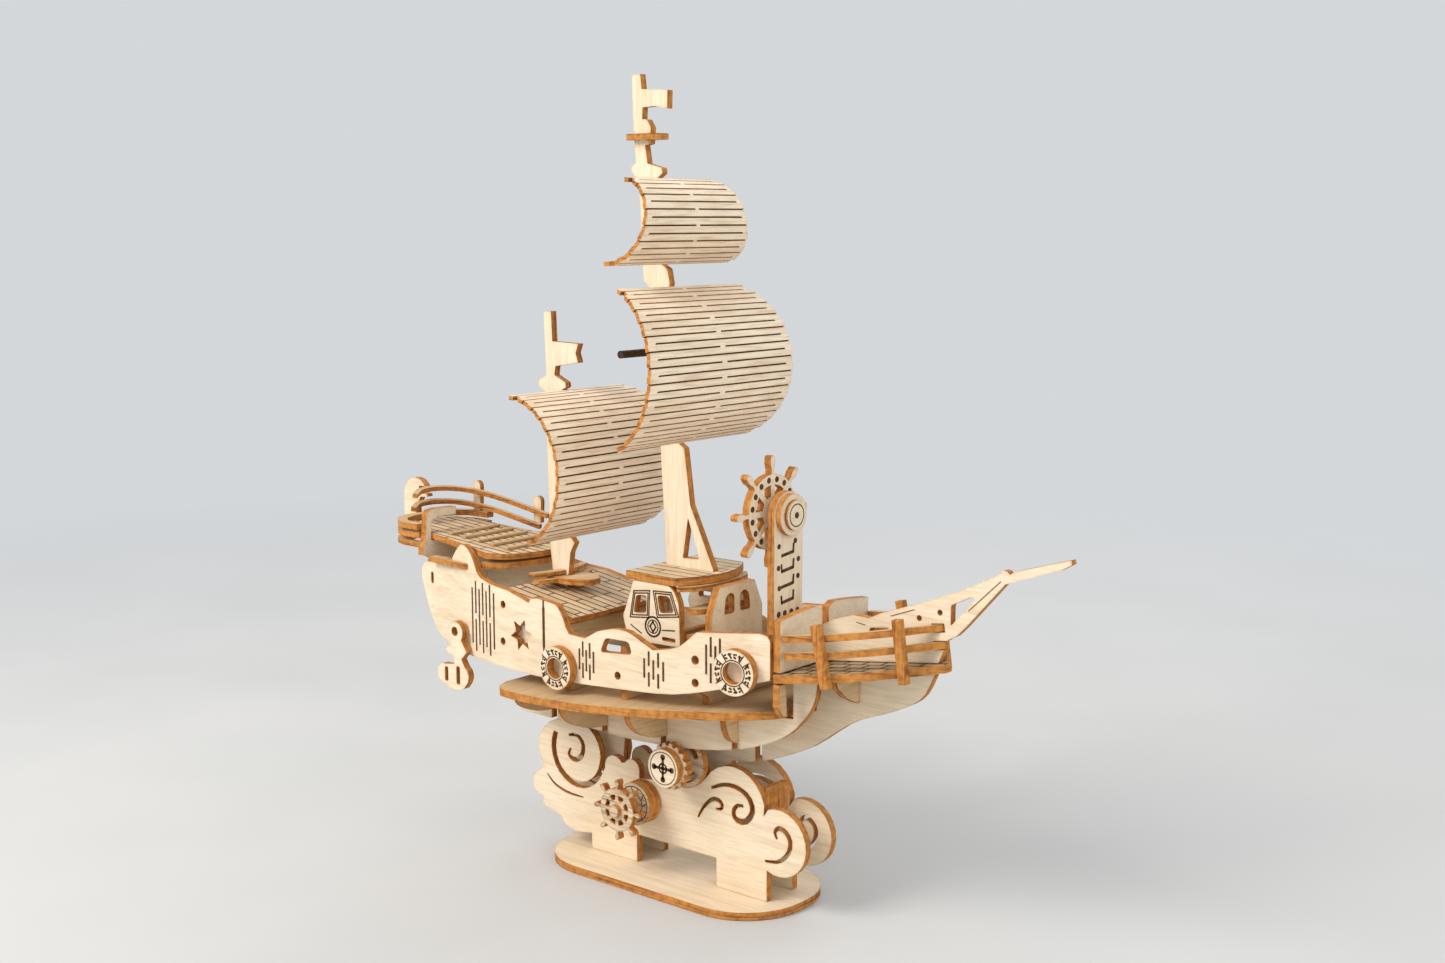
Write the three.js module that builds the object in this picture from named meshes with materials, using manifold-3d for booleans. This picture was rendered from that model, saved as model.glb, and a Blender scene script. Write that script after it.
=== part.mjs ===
// A laser-cut plywood sailing ship on a cloud-shaped stand, built up from flat interlocking plates.
// Millimetres, +X to the bow, +Z up.  Every plate is drawn flat, given its thickness and stood in
// place.  The two helm-like wheels and the capped disc turn on their own axles.
import * as THREE from 'three';
import { mergeVertices } from 'three/addons/utils/BufferGeometryUtils.js';
import Module from 'manifold-3d';

const wasm = await Module();
wasm.setup();

// ---------------------------------------------------------------- driving sizes
const PLY = 2.5;                 // sheet thickness
const SAIL_PLY = 1.5;            // thinner sheet the sails are bent from
const GAP = 0.1;                 // clearance between plates that meet
const SLOT = PLY + 2 * GAP;      // width of a slot that takes a plate
const AXLE_RADIUS = 2;
const AXLE_PLAY = 0.05;          // radial clearance of a turning axle in its hole
const SHIP_SHIFT = 8.3;          // ship stations are counted from the mast step, not the base's centre

const BASE = { length: 96.7, width: 46.6, corner: 21, station: -8.3 };
const STAND_Y = 6.5;             // middle of each cloud plate
const SIDE_KEEL_Y = 11.5;        // middle of each side keel
const ROOF_TOP = 101.6;
const HELM_HEIGHT = 122.7;
const CAP_AXLE = { x: 0, z: 41.5 };
const WHEEL_AXLE = { x: -18.2, z: 24.5 };
const KEEL_LAP = 54.5;           // height where ribs and keels slot past each other
const LOWER_RAKE = THREE.MathUtils.degToRad(4.3); // the lower deck climbs towards the bow
const LOWER_DECK = { x: -8, z: 63 };             // a point on the lower deck's top
const KEEL_RISER = 45.6;         // where the keels step up to the fore deck, ahead of the lower deck
const DECK_RAKE = THREE.MathUtils.degToRad(8);   // the decks climb towards both ends
const POOP_RAKE = THREE.MathUtils.degToRad(4);
const RAIL_RAKE = THREE.MathUtils.degToRad(12);
const FORE_DECK = { x: 50, z: 80.2 };            // a point on the fore deck's top
const MAIN_DECK = { x: -34.6, z: 85 };           // middle of the main deck's fore edge
const POOP = { x: -69.2, z: 99.4 };              // middle of the poop deck's fore edge
const STERN_RAIL = { x: -110, z: 105.7 };

// ---------------------------------------------------------------- materials
const woods = {
  face: new THREE.Color(0.87, 0.78, 0.62),
  deck: new THREE.Color(0.66, 0.56, 0.43),
  edge: new THREE.Color(0.62, 0.40, 0.22),
  burnt: new THREE.Color(0.2, 0.13, 0.09),
};

function wood(tone) {
  return new THREE.MeshStandardMaterial({ color: woods[tone], roughness: 0.75, metalness: 0 });
}

// ---------------------------------------------------------------- outlines
// An arc as a list of points, angles in degrees.
function arc(cx, cy, radius, from, to, step = 15) {
  const count = Math.max(2, Math.ceil(Math.abs(to - from) / step));
  return Array.from({ length: count + 1 }, (_, i) => {
    const angle = THREE.MathUtils.degToRad(from + ((to - from) * i) / count);
    return [cx + radius * Math.cos(angle), cy + radius * Math.sin(angle)];
  });
}

// A smooth curve through the given points.
function curve(points, pieces = points.length * 3) {
  const spline = new THREE.SplineCurve(points.map(([x, y]) => new THREE.Vector2(x, y)));
  return spline.getPoints(pieces).map((p) => [p.x, p.y]);
}

function circle(cx, cy, radius, step = 15) {
  return arc(cx, cy, radius, 0, 360 - step, step);
}

function rectangle(x0, y0, x1, y1) {
  return [[x0, y0], [x1, y0], [x1, y1], [x0, y1]];
}

// Rounds every corner of a polygon by the same radius.
function rounded(points, radius, pieces = 3) {
  const corner = (i) => new THREE.Vector2(...points[(i + points.length) % points.length]);
  return points.flatMap((_, i) => {
    const here = corner(i);
    const before = corner(i - 1).sub(here);
    const after = corner(i + 1).sub(here);
    const reach = Math.min(radius, before.length() * 0.45, after.length() * 0.45);
    const start = here.clone().add(before.setLength(reach));
    const end = here.clone().add(after.setLength(reach));
    const bend = new THREE.QuadraticBezierCurve(start, here, end);
    return bend.getPoints(pieces).map((p) => [p.x, p.y]);
  });
}

// A slot of tapering width that follows a curve, closed with a point at each end.
function curl(points, width) {
  const spline = new THREE.SplineCurve(points.map(([x, y]) => new THREE.Vector2(x, y)));
  const count = points.length * 2;
  const left = [];
  const right = [];
  for (let i = 0; i <= count; i += 1) {
    const t = i / count;
    const half = (width / 2) * (0.45 + 0.55 * Math.sin(Math.PI * t));
    const at = spline.getPoint(t);
    const along = spline.getTangent(t);
    left.push([at.x - along.y * half, at.y + along.x * half]);
    right.unshift([at.x + along.y * half, at.y - along.x * half]);
  }
  return [...left, ...right];
}

function mirrored(points) {
  return points.map(([x, y]) => [x, -y]);
}

// A closed outline symmetric about its first axis, from its upper half.
function symmetric(half) {
  return [...half, ...mirrored(half).reverse()];
}

// Turns point pairs into vectors, leaving out repeats of the point before.
function vectorsOf(points) {
  const vectors = points.map(([x, y]) => new THREE.Vector2(x, y));
  return vectors.filter((point, i) => point.distanceTo(vectors.at(i - 1)) > 1e-3);
}

function shapeOf(points, holes = []) {
  const shape = new THREE.Shape(vectorsOf(points));
  for (const hole of holes) {
    shape.holes.push(new THREE.Path(vectorsOf(hole)));
  }
  return shape;
}

// ---------------------------------------------------------------- solids
function slab(points, thickness = PLY, holes = []) {
  const geometry = new THREE.ExtrudeGeometry(shapeOf(points, holes), {
    depth: thickness, bevelEnabled: false,
  });
  return geometry.translate(0, 0, -thickness / 2);
}

function block(x0, y0, z0, x1, y1, z1) {
  const geometry = new THREE.BoxGeometry(x1 - x0, y1 - y0, z1 - z0);
  return geometry.translate((x0 + x1) / 2, (y0 + y1) / 2, (z0 + z1) / 2);
}

function rod(radius, length, segments = 24) {
  return new THREE.CylinderGeometry(radius, radius, length, segments).rotateX(Math.PI / 2);
}

function toManifold(geometry) {
  const bare = new THREE.BufferGeometry();
  bare.setAttribute('position', geometry.getAttribute('position'));
  bare.setIndex(geometry.getIndex());
  const merged = mergeVertices(bare, 1e-4);
  return new wasm.Manifold(new wasm.Mesh({
    numProp: 3,
    vertProperties: new Float32Array(merged.getAttribute('position').array),
    triVerts: new Uint32Array(merged.getIndex().array),
  }));
}

function fromManifold(solid) {
  const mesh = solid.getMesh();
  const geometry = new THREE.BufferGeometry();
  geometry.setAttribute('position', new THREE.BufferAttribute(new Float32Array(mesh.vertProperties), 3));
  geometry.setIndex(new THREE.BufferAttribute(new Uint32Array(mesh.triVerts), 1));
  const flat = geometry.toNonIndexed();
  flat.computeVertexNormals();
  return flat;
}

function cut(geometry, tools) {
  const solid = tools.reduce((left, tool) => left.subtract(toManifold(tool)), toManifold(geometry));
  return fromManifold(solid);
}

function overlap(first, second) {
  return fromManifold(toManifold(first).intersect(toManifold(second)));
}

function joined(first, others) {
  const solid = others.reduce((sum, other) => sum.add(toManifold(other)), toManifold(first));
  return fromManifold(solid);
}

// ---------------------------------------------------------------- placing
// Drawings stand in one of three planes: 'side' is X and Z, 'cross' is Y and Z, 'deck' is X and Y.
const PLANES = {
  side: { rotation: [Math.PI / 2, 0, 0], axis: 'y' },
  cross: { rotation: [Math.PI / 2, Math.PI / 2, 0], axis: 'x' },
  deck: { rotation: [0, 0, 0], axis: 'z' },
};

function place(parent, name, geometry, plane, offset, tone = 'face') {
  const mesh = new THREE.Mesh(geometry, wood(tone));
  mesh.name = name;
  mesh.rotation.set(...PLANES[plane].rotation);
  mesh.position[PLANES[plane].axis] = offset;
  parent.add(mesh);
  return mesh;
}

const SIDES = [{ side: 'near', sign: -1 }, { side: 'far', sign: 1 }];

// ---------------------------------------------------------------- stand
function buildBase(parent) {
  const { length, width, corner, station } = BASE;
  const x = length / 2 - corner;
  const y = width / 2 - corner;
  const outline = [
    ...arc(station + x, y, corner, 0, 90, 10), ...arc(station - x, y, corner, 90, 180, 10),
    ...arc(station - x, -y, corner, 180, 270, 10), ...arc(station + x, -y, corner, 270, 360, 10),
  ];
  place(parent, 'base_plate', slab(outline), 'deck', PLY / 2);
}

function cloudOutline() {
  const foot = PLY + GAP;
  const swirl = { x: -48.4, z: 34.6 };
  return [
    [-42.3, foot], [-21.9, foot], [-21.9, 11.6], [-21.4, 12], [11.8, 12],
    [11.8, foot], [31.9, foot], [31.9, 12.6],
    ...arc(36.3, 22.3, 10.6, -114, 112), [30.6, 29.5],
    ...arc(18.3, 30, 12.9, 14, 148), [6.6, 36.4],
    ...arc(0, 37.6, 7.4, 0, 215), [-20.8, 31],
    ...arc(-24.1, 33.4, 3.4, 0, 150), ...arc(-31.9, 32.4, 4.1, 35, 190),
    ...arc(swirl.x, swirl.z, 12.4, -24, -205), ...arc(swirl.x, swirl.z, 10.2, -208, -8),
    ...arc(swirl.x, swirl.z, 10.4, 0, 95),
    ...curve([[-51, 45.4], [-60, 43.5], [-66, 38], [-67.2, 32.5], [-64.6, 26.4]], 10),
    ...curve([[-68.4, 23.6], [-70.2, 20.4], [-69, 17.2], [-64.6, 15.6]], 8),
    ...curve([[-65.9, 13.8], [-63, 11.9], [-57, 10.8]], 6),
    ...curve([[-54.6, 7.8], [-49.5, 6.8], [-42.3, 7.9]], 6),
  ];
}

function cloudCurls() {
  return [
    curl([[9.7, 34.3], [15, 36.5], [20.5, 36.5], [24.8, 34.3], [26.3, 30.2], [23.6, 26.4],
      [19.9, 26.2], [18.7, 28.5], [20.2, 30.8], [22.7, 31.2]], 2),
    curl([[4.3, 23.6], [6.9, 27.9], [10.7, 31], [13.8, 30.4], [13.9, 28.4], [11.6, 28]], 1.4),
    curl([[31.2, 15.6], [36.2, 16.4], [40, 19.7], [41, 23.8], [39.1, 26.6], [36.5, 27.2],
      [35, 25.6], [35.9, 23.6]], 1.7),
    curl([[-52.6, 39.6], [-48.6, 40.2], [-45.9, 37.6], [-46.6, 33.6], [-49.7, 31.6], [-52.6, 32.8],
      [-51.6, 35.2]], 1.8),
    curl([[-63, 24.2], [-59.3, 21.2], [-53.1, 19.5], [-46, 19.3]], 0.9),
  ];
}

function buildStand(parent) {
  buildBase(parent);
  const bores = [WHEEL_AXLE, CAP_AXLE].map(({ x, z }) => circle(x, z, AXLE_RADIUS + AXLE_PLAY));
  for (const { side, sign } of SIDES) {
    const holes = sign < 0 ? [...cloudCurls(), ...bores] : cloudCurls();
    place(parent, `cloud_plate_${side}`, slab(cloudOutline(), PLY, holes), 'side', sign * STAND_Y);
  }
  // A cross tie holds the two cloud plates apart.
  const half = STAND_Y - PLY / 2 - GAP;
  place(parent, 'stand_tie', slab(rectangle(-half, 29, half, 37.5)), 'cross', 28.9, 'edge');
}

// ---------------------------------------------------------------- turning parts
// A ship's wheel drawn about the origin: rim, spokes and a turned handle past each spoke.
function wheelOutline({ spokes, rimOuter, tip, grip }) {
  const sector = 360 / spokes;
  const outline = [];
  for (let i = 0; i < spokes; i += 1) {
    const angle = THREE.MathUtils.degToRad(i * sector);
    const turn = ([r, t]) => [
      r * Math.cos(angle) - t * Math.sin(angle), r * Math.sin(angle) + t * Math.cos(angle),
    ];
    const edge = THREE.MathUtils.radToDeg(Math.asin((grip * 0.55) / rimOuter));
    const length = tip - rimOuter;
    outline.push(...[
      [rimOuter + length * 0.25, -grip * 0.5], [rimOuter + length * 0.55, -grip],
      [tip - 0.4, -grip * 0.8], [tip, 0], [tip - 0.4, grip * 0.8],
      [rimOuter + length * 0.55, grip], [rimOuter + length * 0.25, grip * 0.5],
    ].map(turn));
    outline.push(...arc(0, 0, rimOuter, i * sector + edge, (i + 1) * sector - edge, 9));
  }
  return outline;
}

function wheelWindows({ spokes, rimInner, hub, spoke }) {
  const sector = 360 / spokes;
  return Array.from({ length: spokes }, (_, i) => {
    const inner = THREE.MathUtils.radToDeg(Math.asin(spoke / 2 / hub));
    const outer = THREE.MathUtils.radToDeg(Math.asin(spoke / 2 / rimInner));
    const from = i * sector;
    return [
      ...arc(0, 0, rimInner, from + outer, from + sector - outer, 12),
      ...arc(0, 0, hub, from + sector - inner, from + inner, 12),
    ];
  });
}

function wheelSlab(size, thickness, bore) {
  return slab(wheelOutline(size), thickness, [...wheelWindows(size), circle(0, 0, bore)]);
}

function gearOutline(teeth, root, tip) {
  const pitch = 360 / teeth;
  return Array.from({ length: teeth }, (_, i) => [
    ...arc(0, 0, root, (i + 0.1) * pitch, (i + 0.4) * pitch, 20),
    ...arc(0, 0, tip, (i + 0.58) * pitch, (i + 0.92) * pitch, 20),
  ]).flat();
}

// A stack of discs on one axle, lying along the drawing's depth axis.
function onAxle(parent, x, z) {
  const group = new THREE.Group();
  group.position.set(x, 0, z);
  parent.add(group);
  return group;
}

function buildCapDisc(parent) {
  const group = onAxle(parent, CAP_AXLE.x, CAP_AXLE.z);
  const arcs = [20, 140, 260].map((start) => [
    ...arc(0, 0, 6.9, start, start + 70, 14), ...arc(0, 0, 5, start + 70, start, 14),
  ]);
  const bore = circle(0, 0, AXLE_RADIUS + 0.02);
  const disc = slab(circle(0, 0, 8.6, 10), 2.1, [...arcs, bore]);
  place(group, 'cap_disc', disc, 'side', -9.05, 'deck');
  // The toothed ring and the face disc are fast on the axle.
  const gear = slab(gearOutline(16, 6.5, 7.5)).translate(0, 0, 4.9);
  const axle = joined(rod(AXLE_RADIUS, 13), [gear, rod(6.1, PLY, 36).translate(0, 0, 7.7)]);
  place(group, 'cap_axle', axle, 'side', -10.6);
}

function buildStandWheel(parent) {
  const group = onAxle(parent, WHEEL_AXLE.x, WHEEL_AXLE.z);
  const size = { spokes: 8, rimOuter: 7, rimInner: 5, hub: 3.4, spoke: 1.3, tip: 10, grip: 0.8 };
  place(group, 'stand_wheel', wheelSlab(size, PLY, AXLE_RADIUS + 0.02), 'side', -20);
  const drum = joined(rod(AXLE_RADIUS, 17.6), [rod(7, 5, 36).translate(0, 0, -3.2)]);
  place(group, 'wheel_drum', drum, 'side', -14, 'edge');
}

// ---------------------------------------------------------------- hull frame
const RIBS = [
  { x: -54, half: 30, foot: 50 },
  { x: -31, half: 33, foot: 48.4 },
  { x: -5.5, half: 30, foot: 49.8 },
  { x: 23.5, half: 18.8, foot: 53 },
];
const BOW_RIB = { x: 60.2, lap: 73.6 };

// Half the lower deck's breadth, along the ship.
const DECK_EDGE = [[-67, 22], [-62.3, 30], [-51, 33.5], [-40, 35], [-22, 36.2], [-7.6, 34.6],
  [5.8, 32.1], [17.9, 28.4], [29.5, 24.4], [39.4, 18.4], [42.6, 14], [43.2, 6]];

// Height of the lower deck's top at a station.
function lowerDeckTop(x) {
  return LOWER_DECK.z + Math.tan(LOWER_RAKE) * (x - LOWER_DECK.x);
}

function underLowerDeck(x) {
  return lowerDeckTop(x) - PLY / Math.cos(LOWER_RAKE) - 3 * GAP;
}

function buildLowerDeck(parent) {
  const group = rakedGroup(parent, LOWER_DECK, -LOWER_RAKE);
  const edge = curve(DECK_EDGE, 30).map(([x, y]) => [(x - LOWER_DECK.x) / Math.cos(LOWER_RAKE), y]);
  place(group, 'lower_deck', slab(symmetric(edge)), 'deck', -PLY / 2);
}

function ribNotches() {
  return RIBS.map(({ x }) => block(x - SLOT / 2, 30, -3, x + SLOT / 2, KEEL_LAP, 3));
}

// Height of the fore deck's underside at a station, less the clearance.
function underForeDeck(x) {
  return FORE_DECK.z + Math.tan(DECK_RAKE) * (x - FORE_DECK.x) - PLY / Math.cos(DECK_RAKE) - 3 * GAP;
}

function buildKeels(parent) {
  const centre = [
    [-62, underLowerDeck(-62)], [-66, 51], [-60, 45.5], [-46, 42], [-45, 28], [-34, 28], [-33, 42], [-1, 42], [0, 28],
    [11.6, 28], [12.5, 42],
    ...curve([[22, 43.6], [31, 46.6], [44, 52.6], [58.9, 62.9], [73.8, 69.1], [83, 74.6],
      [87.4, underForeDeck(87.4)]]),
    [KEEL_RISER, underForeDeck(KEEL_RISER)], [KEEL_RISER, underLowerDeck(KEEL_RISER)],
  ];
  const bowNotch = block(BOW_RIB.x - SLOT / 2, BOW_RIB.lap, -3, BOW_RIB.x + SLOT / 2, 90, 3);
  place(parent, 'keel_centre', cut(slab(centre), [...ribNotches(), bowNotch]), 'side', 0);
  const side = [
    [-70, 54], [-69.4, 46.2], ...curve([[-34, 45.8], [-18, 45.6], [4.5, 47.2], [22, 50.2], [34.5, 54.2],
      [43.6, 59], [49.4, 64.6], [53.2, 70.4],
      [54.6, underForeDeck(54.6)]]),
    [KEEL_RISER, underForeDeck(KEEL_RISER)], [KEEL_RISER, underLowerDeck(KEEL_RISER)],
    [-67, underLowerDeck(-67)],
  ];
  for (const { side: name, sign } of SIDES) {
    place(parent, `keel_${name}`, cut(slab(side), ribNotches()), 'side', sign * SIDE_KEEL_Y);
  }
}

// Each rib slots down over the three keels.
function buildRibs(parent) {
  const notch = KEEL_LAP - GAP;
  RIBS.forEach(({ x, half, foot }, index) => {
    const top = underLowerDeck(x) - GAP;
    const quarter = arc(13, top, 1, -90, 0, 12).map(([y, z]) => [
      13 + (y - 13) * (half - 13), top + (z - top) * (top - foot),
    ]);
    const outline = symmetric([[top, 0], ...quarter.map(([y, z]) => [z, y]), [foot, 0]]
      .filter(([, y]) => y > 0)).map(([z, y]) => [y, z]);
    const slots = [-SIDE_KEEL_Y, 0, SIDE_KEEL_Y].map((y) => (
      block(y - SLOT / 2, notch, -3, y + SLOT / 2, 70, 3)));
    place(parent, `rib_${index + 1}`, cut(slab(outline), slots), 'cross', x, 'edge');
  });
  // The bow rib hangs from the fore deck and slots down over the centre keel alone.
  const crown = underForeDeck(BOW_RIB.x) - 2 * GAP;
  const bow = symmetric([[crown, 13.4], [76, 12.2], [72.4, 8], [69.6, 2.4]]).map(([z, y]) => [y, z]);
  const slot = block(-SLOT / 2, 60, -3, SLOT / 2, BOW_RIB.lap + GAP, 3);
  place(parent, 'bow_rib', cut(slab(bow), [slot]), 'cross', BOW_RIB.x, 'edge');
}

// Cross frames between the lower deck and the decks above it.
function buildFrames(parent) {
  const frames = [['frame_aft', -37, 23.6, 23.6, 82.6], ['frame_mid', -11, 25, 25.1, 79.6],
    ['frame_fore', 17, 19, 24.1, 79]];
  for (const [name, x, foot, half, top] of frames) {
    const bottom = lowerDeckTop(x) + 2 * GAP;
    const outline = symmetric([[bottom, foot], [bottom + 2.4, foot], [bottom + 5.4, half], [top, half]])
      .map(([z, y]) => [y, z]);
    const window = rounded(rectangle(-8, bottom + 4, 8, 76), 2);
    place(parent, name, slab(outline, PLY, [window]), 'cross', x, 'edge');
  }
}

// ---------------------------------------------------------------- side panels
// Plan line of a side panel: flat facets that bend where the sheet is kerfed.
const PANEL_PLAN = [[-118, 14], [-73, 22], [-23, 26.6], [5, 26.8], [30, 24.4], [46, 21.5]];

function bendPlate(plan, sign, bottom, top) {
  const line = plan.map(([x, y]) => new THREE.Vector2(x, y));
  const outer = [];
  const inner = [];
  line.forEach((point, i) => {
    const before = line[Math.max(i - 1, 0)];
    const after = line[Math.min(i + 1, line.length - 1)];
    const normal = after.clone().sub(before).normalize().multiplyScalar(PLY / 2);
    outer.push([point.x - normal.y, sign * (point.y + normal.x)]);
    inner.unshift([point.x + normal.y, sign * (point.y - normal.x)]);
  });
  const band = slab([...outer, ...inner], top - bottom);
  return band.translate(0, 0, (top + bottom) / 2);
}

function starHole(x, z, outer, inner) {
  return Array.from({ length: 12 }, (_, i) => {
    const angle = THREE.MathUtils.degToRad(30 * i + 12);
    const radius = i % 2 ? inner : outer;
    return [x + radius * Math.cos(angle), z + radius * Math.sin(angle)];
  });
}

function panelOutline() {
  return [
    ...curve([[-89.4, 64.4], [-69.6, 63.8], [-45.4, 64.1], [-19.2, 66.2], [-0.6, 67.6],
      [13.5, 69.2], [29.2, 73.2], [44.8, 77.8]], 16),
    [44.8, 89.4], [43.8, 90.9], [41.4, 91.4], [19.9, 89.1],
    ...curve([[15.4, 85.2], [12.6, 83.4], [8, 82.2], [3.8, 81.4]], 4),
    ...curve([[-1, 83.3], [-6.8, 85.5], [-13, 85.4], [-19.8, 83.6]], 6),
    [-25.2, 80.5], [-32.8, 80.6], [-34.4, 82.4],
    ...curve([[-35.6, 85.2], [-38.4, 88.6], [-42, 89.4], [-48, 89.7]], 6),
    [-51.8, 89.2], [-52.6, 87.6], [-63.4, 90], [-72.9, 90.8], [-78.6, 92],
    ...curve([[-80.8, 93.6], [-83, 97.6], [-86.4, 101], [-90.4, 101.6], [-94, 98.4]], 8),
    ...curve([[-96.4, 95.4], [-104, 93.6], [-112, 92.8], [-115.6, 90.4]], 6),
    ...curve([[-115.8, 86.7], [-112.6, 79.2], [-108.9, 72.4], [-103.9, 67.7], [-93.6, 64.8]], 10),
  ];
}

function panelHoles() {
  return [
    starHole(-56.7, 76.3, 5.6, 2.9), rounded(rectangle(-109.6, 85.4, -108, 89.4), 0.7),
    circle(-66.1, 85, 1.3, 30), circle(-66.4, 72.6, 1.3, 30), circle(-11, 71, 1.3, 30),
    circle(19.4, 80.6, 1.4, 30), circle(19.4, 73.6, 1.3, 30),
    rounded(rectangle(-45.9, 74, -44.7, 87.4), 0.4),
    rounded([[-18.4, 77.3], [-4.9, 78.5], [-6.1, 82.4], [-16.2, 82.2]], 1.4),
  ];
}

function buildPanels(parent) {
  for (const { side, sign } of SIDES) {
    const face = slab(panelOutline(), 90, panelHoles()).rotateX(Math.PI / 2);
    const band = bendPlate(PANEL_PLAN, sign, 60, 110);
    const mesh = new THREE.Mesh(overlap(band, face), wood('face'));
    mesh.name = `side_panel_${side}`;
    parent.add(mesh);
  }
}

// ---------------------------------------------------------------- trim on the hull
// Life rings stand against the panels, the fore pair turned to lie along the bow's taper.
function buildLifeRings(parent) {
  const thickness = 3;
  const rings = [
    { end: 'aft', x: -35.9, y: 27.5, z: 69.7, turn: 0 },
    { end: 'fore', x: 34.4, y: 25.1, z: 79.4, turn: THREE.MathUtils.degToRad(10.3) },
  ];
  for (const { end, x, y, z, turn } of rings) {
    for (const { side, sign } of SIDES) {
      const ring = slab(circle(0, 0, 6.9, 10), thickness, [circle(0, 0, 3.4, 15)]);
      const mesh = place(parent, `life_ring_${end}_${side}`, ring, 'side', 0);
      const out = thickness / 2;
      mesh.position.set(x + out * Math.sin(turn), sign * (y + out * Math.cos(turn)), z);
      mesh.rotation.y = -sign * turn;
    }
  }
}

function buildAnchors(parent) {
  const outline = [
    ...arc(-91.4, 72.2, 3.7, -40, 190, 20), [-92.9, 68.1], [-96.2, 66.2], [-96, 64.4],
    [-92.5, 64], [-92.1, 61.1], ...arc(-97.4, 57, 3.5, 75, 250, 25),
    ...curve([[-95.3, 52.7], [-91.9, 51.7], [-87.6, 53.1]], 4), ...arc(-88.8, 57.4, 3.7, -40, 60, 25),
    [-88.6, 63.1], [-85.9, 66], [-87.8, 68.5],
  ];
  const holes = [circle(-91.6, 72.4, 1.6, 30), rounded(rectangle(-97, 54.5, -95.3, 59.5), 0.7),
    rounded(rectangle(-91.2, 54.1, -89.4, 60.5), 0.8)];
  for (const { side, sign } of SIDES) {
    const anchor = place(parent, `anchor_${side}`, slab(outline, PLY, holes), 'side', sign * 22.9);
    anchor.position.x = 1.8;
  }
}

// ---------------------------------------------------------------- decks and stern
const GALLERY_HEIGHTS = [98, 101.4, 104.5];

// A group whose plates are drawn level about one point, then raked: up aft for a positive rake.
function rakedGroup(parent, { x, z }, rake) {
  const group = new THREE.Group();
  group.position.set(x, 0, z);
  group.rotation.y = rake;
  parent.add(group);
  return group;
}

function buildMainDeck(parent) {
  const group = rakedGroup(parent, MAIN_DECK, DECK_RAKE);
  const outline = symmetric([[-33.6, 20.6], [-16, 22.3], [-1, 23.8], [0, 24.2], [0.5, 10], [0, 2]]);
  const slot = rectangle(-33, -SLOT / 2, -22.8, SLOT / 2);
  place(group, 'main_deck', slab(outline, 2, [slot]), 'deck', -1, 'deck');
  // The collar round the mizzen's foot lies level, so its fore end stands clear of the deck.
  const collar = rounded([[-70.6, -4], [-66, -6.4], [-53, -6.4], [-46.4, -2.6], [-46.4, 2.6],
    [-53, 6.4], [-66, 6.4], [-70.6, 4]], 4);
  const eye = rectangle(-66.4, -SLOT / 2, -57.4, SLOT / 2);
  place(parent, 'mizzen_collar', slab(collar, 2, [eye]), 'deck', 91.4, 'edge');
}

function buildPoop(parent) {
  const group = rakedGroup(parent, POOP, POOP_RAKE);
  const plan = [...curve([[-0.1, 2], [-2.3, 11], [-5, 16], [-9.4, 19.4]], 6), [-14.8, 18.3], [-25.9, 16.3],
    [-43.9, 14.2], [-54, 13.2], [-58.6, 9.6], [-60.2, 3]];
  place(group, 'poop_deck', slab(symmetric(plan), 2), 'deck', -1, 'deck');
  // A step with a bowed front climbs from the main deck.
  const nose = curve([[-70.2, 1], [-72.4, 11], [-75, 16], [-78.8, 19.2]], 6);
  place(parent, 'poop_step', slab(symmetric([...nose, [-82.2, 18.6]]), 2), 'deck', 95.5, 'edge');
  // The stern gallery is a pile of horseshoe plates, each a little wider than the one below.
  GALLERY_HEIGHTS.forEach((height, row) => {
    const flare = row * 0.8;
    const outer = [[-115, 16.4 + flare], ...curve([[-124, 16.4 + flare], [-130, 14], [-133, 10],
      [-134.4, 5]], 8), [-134.5, 0]];
    const inner = [[-130.4, 0], [-130.3, 5], [-128.4, 10.8], [-124, 14.2], [-115, 14.8]];
    place(parent, `gallery_${row + 1}`, slab(horseshoe(outer, inner), 2), 'deck', height, 'edge');
  });
}

// Two rails start on the near side, round the stern and run forward on the far side.
function buildSternRails(parent) {
  const group = rakedGroup(parent, STERN_RAIL, RAIL_RAKE);
  const bend = [[-15.8, -11.6], [-19.6, -6], [-20.4, 0], [-19.4, 5], [-16.8, 10], [-12.3, 14],
    [-5.1, 17.4], [2.7, 19], [12.3, 20.3], [17.4, 20.8]];
  for (const [level, height, end] of [['lower', 0, bend], ['upper', 5, [...bend, [20.4, 21]]]]) {
    const line = curve(end, 24);
    const inner = line.map((_, i) => insetFrom(line, i, 1.8)).reverse();
    place(group, `stern_rail_${level}`, slab([...line, ...inner], 1.6), 'deck', height, 'edge');
  }
}

// The point a set distance to the left of an open line at one of its points.
function insetFrom(line, i, distance) {
  const before = new THREE.Vector2(...line[Math.max(i - 1, 0)]);
  const after = new THREE.Vector2(...line[Math.min(i + 1, line.length - 1)]);
  const along = after.sub(before).normalize();
  return [line[i][0] + along.y * distance, line[i][1] - along.x * distance];
}

function horseshoe(outerHalf, innerHalf) {
  return [...outerHalf, ...mirrored(outerHalf.slice(0, -1)).reverse(),
    ...mirrored(innerHalf.slice(1)).reverse(), ...innerHalf];
}

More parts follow.
